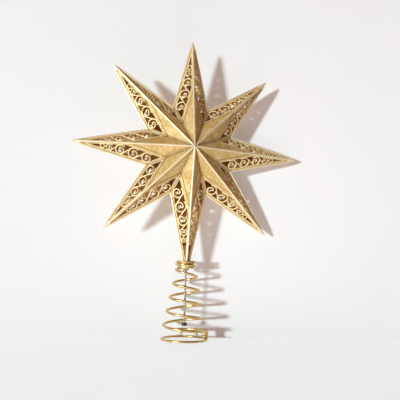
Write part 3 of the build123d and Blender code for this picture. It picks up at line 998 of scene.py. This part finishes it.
# %% Wire tree
wire_tube = bpy.data.node_groups.new("wire_tube", "GeometryNodeTree")
wire_inputs = {}
for title, kind in (
    ("Geometry", "NodeSocketGeometry"), ("Wire Line", "NodeSocketObject"),
    ("Wire Sides", "NodeSocketInt"), ("Finish", "NodeSocketMaterial"),
):
    wire_inputs[title] = wire_tube.interface.new_socket(
        name=title, in_out="INPUT", socket_type=kind
    ).identifier
wire_tube.interface.new_socket(
    name="Geometry", in_out="OUTPUT", socket_type="NodeSocketGeometry"
)
tree = wire_tube
given = node_of(tree, "NodeGroupInput")
made = node_of(tree, "NodeGroupOutput")
profile = node_of(tree, "GeometryNodeCurvePrimitiveCircle")
profile.inputs["Radius"].default_value = 1.0
tree.links.new(given.outputs["Wire Sides"], profile.inputs["Resolution"])
drawing = node_of(tree, "GeometryNodeObjectInfo")
tree.links.new(given.outputs["Wire Line"], drawing.inputs["Object"])
sweep = node_of(tree, "GeometryNodeCurveToMesh")
sweep.inputs["Fill Caps"].default_value = True
thickness = node_of(tree, "GeometryNodeInputRadius")
tree.links.new(thickness.outputs[0], sweep.inputs["Scale"])
tree.links.new(drawing.outputs["Geometry"], sweep.inputs["Curve"])
tree.links.new(profile.outputs["Curve"], sweep.inputs["Profile Curve"])
real = node_of(tree, "GeometryNodeRealizeInstances")
smooth = node_of(tree, "GeometryNodeSetShadeSmooth")
finish = node_of(tree, "GeometryNodeSetMaterial")
tree.links.new(sweep.outputs[0], real.inputs[0])
tree.links.new(real.outputs[0], smooth.inputs[0])
tree.links.new(smooth.outputs[0], finish.inputs["Geometry"])
tree.links.new(given.outputs["Finish"], finish.inputs["Material"])
tree.links.new(finish.outputs[0], made.inputs["Geometry"])
print("tree", tree.name, "with", len(tree.nodes), "nodes")


# %% Wire pieces
def wire_piece(name, places, thickness, sides, finish):
    drawing = line_drawing(name + "_line", [([spot * mm for spot in places], thickness * mm, False)])
    values = {
        wire_inputs["Wire Line"]: drawing,
        wire_inputs["Wire Sides"]: sides,
        wire_inputs["Finish"]: finish,
    }
    return piece_from_tree(name, wire_tube, values, (drawing,))


def past_end(places):
    way = (places[-1] - places[-2]).normalized()
    return places + [places[-1] + way * wire_radius, places[-1] + way * 2 * wire_radius]


split_height = 36.5
length_lap = 0.02
wire_sides = 16
split_turn = zero_of(lambda turn: split_height - coil_at(turn).z, 0, coil_turns)
upper_line = coil_line(0, split_turn + length_lap)
upper_line = past_end(upper_line[::-1])[::-1]
lower_line = past_end(coil_line(split_turn - length_lap, coil_turns))
spring_upper = wire_piece("spring_upper", upper_line, wire_radius, wire_sides, wire_gold)
spring_lower = wire_piece("spring_lower", lower_line, wire_radius, wire_sides, wire_gold)
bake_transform(spring_upper)
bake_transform(spring_lower)
for piece in (spring_upper, spring_lower):
    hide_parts("spring")

# %% [markdown]
# ## Clip at the foot
# The spring's lower end is crimped to the foot ring by a small folded clip. It is lofted from
# rounded outlines that draw in at its waist and ends, as folded sheet does round two wires.

# %% Folded clip
clip_low, clip_high = (Vector(corner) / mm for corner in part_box("end_clip"))
clip_middle = (clip_low + clip_high) / 2
clip_half = (clip_high - clip_low) / 2
outline_steps = 28
side_squareness = 0.55
top_squareness = 0.62
waist_depth = 0.13
waist_drop = 0.12
waist_spread = 0.28


def clip_outline(shrink):
    spots = []
    for step in range(outline_steps):
        angle = 2 * math.pi * step / outline_steps
        across = math.copysign(abs(math.cos(angle)) ** side_squareness, math.cos(angle))
        up = math.copysign(abs(math.sin(angle)) ** top_squareness, math.sin(angle))
        waist = 1 - waist_depth * math.exp(-((up + waist_drop) / waist_spread) ** 2)
        height_share = (1 + shrink) / 2
        spots.append((across * waist * clip_half.x * shrink, up * clip_half.z * height_share))
    return spots


# Each section: its share of the clip's half depth, and how far its outline is drawn in.
clip_sections = [
    (-1.0, 0.80), (-0.97, 0.90), (-0.86, 0.98), (-0.6, 1.0), (0.0, 0.985),
    (0.6, 1.0), (0.86, 0.98), (0.97, 0.90), (1.0, 0.80),
]
clip_mesh = bmesh.new()
rows = []
for share, shrink in clip_sections:
    rows.append([
        clip_mesh.verts.new((clip_middle + Vector((x, share * clip_half.y, z))) * mm)
        for x, z in clip_outline(shrink)
    ])
for one, other in zip(rows, rows[1:]):
    for step in range(outline_steps):
        after = (step + 1) % outline_steps
        clip_mesh.faces.new((one[step], one[after], other[after], other[step]))
clip_mesh.faces.new(rows[0][::-1])
clip_mesh.faces.new(rows[-1])
bmesh.ops.recalc_face_normals(clip_mesh, faces=clip_mesh.faces)
for face in clip_mesh.faces:
    face.smooth = len(face.verts) == 4
data = bpy.data.meshes.new("folded_clip")
clip_mesh.to_mesh(data)
clip_mesh.free()
data.materials.append(wire_gold)
folded_clip = bpy.data.objects.new("folded_clip", data)
bpy.context.scene.collection.objects.link(folded_clip)
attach(folded_clip, "base")
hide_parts("end_clip")
print("clip", [round(value, 1) for value in clip_half * 2], "mm")
